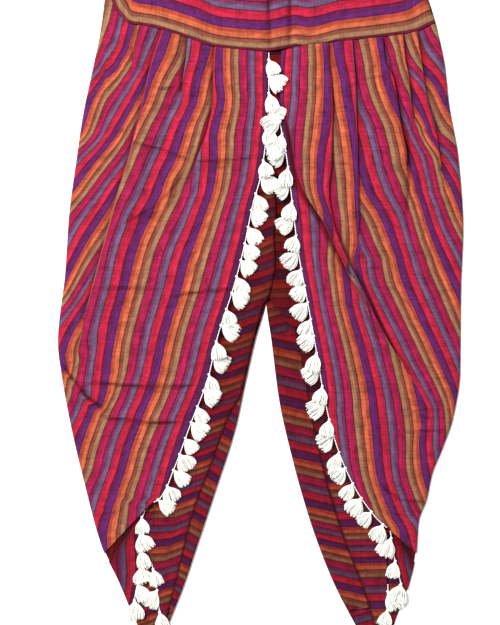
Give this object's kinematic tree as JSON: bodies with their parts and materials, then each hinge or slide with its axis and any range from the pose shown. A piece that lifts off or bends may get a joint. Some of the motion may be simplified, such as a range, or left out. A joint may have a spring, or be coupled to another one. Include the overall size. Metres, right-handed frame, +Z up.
{
  "type": "tulip pants",
  "caption": "Loose pants laid flat, with pleated overlapping front panels, a deep hip yoke, a gathered waistband and tassel trim on the curved edges.",
  "frame": {"origin": "middle of the garment's box, on the surface that it lies on", "axes": "+Y from the hems to the waist edge, +Z up from the surface, +X to the right with the waist edge away from the viewer"},
  "size_m": [0.5478, 0.977, 0.0184],
  "materials": {
    "yoke_cotton": "fine woven cotton with bands of six colours",
    "petal_cotton": "fine woven cotton with bands of six colours",
    "panel_cotton": "fine woven cotton with bands of six colours",
    "tassel_yarn": "soft cotton yarn"
  },
  "bodies": {
    "root": {"waistband_back": "yoke_cotton", "waistband_front": "yoke_cotton", "yoke_back": "yoke_cotton", "yoke_front": "yoke_cotton", "back_left": "panel_cotton", "back_right": "panel_cotton", "inner_left": "panel_cotton", "inner_right": "panel_cotton", "petal_left": "petal_cotton", "petal_right": "petal_cotton", "trim_petal_left": "tassel_yarn", "trim_petal_right": "tassel_yarn", "trim_tip_left": "tassel_yarn", "trim_tip_right": "tassel_yarn", "trim_vent_left": "tassel_yarn", "trim_vent_right": "tassel_yarn"}
  },
  "joints": []
}
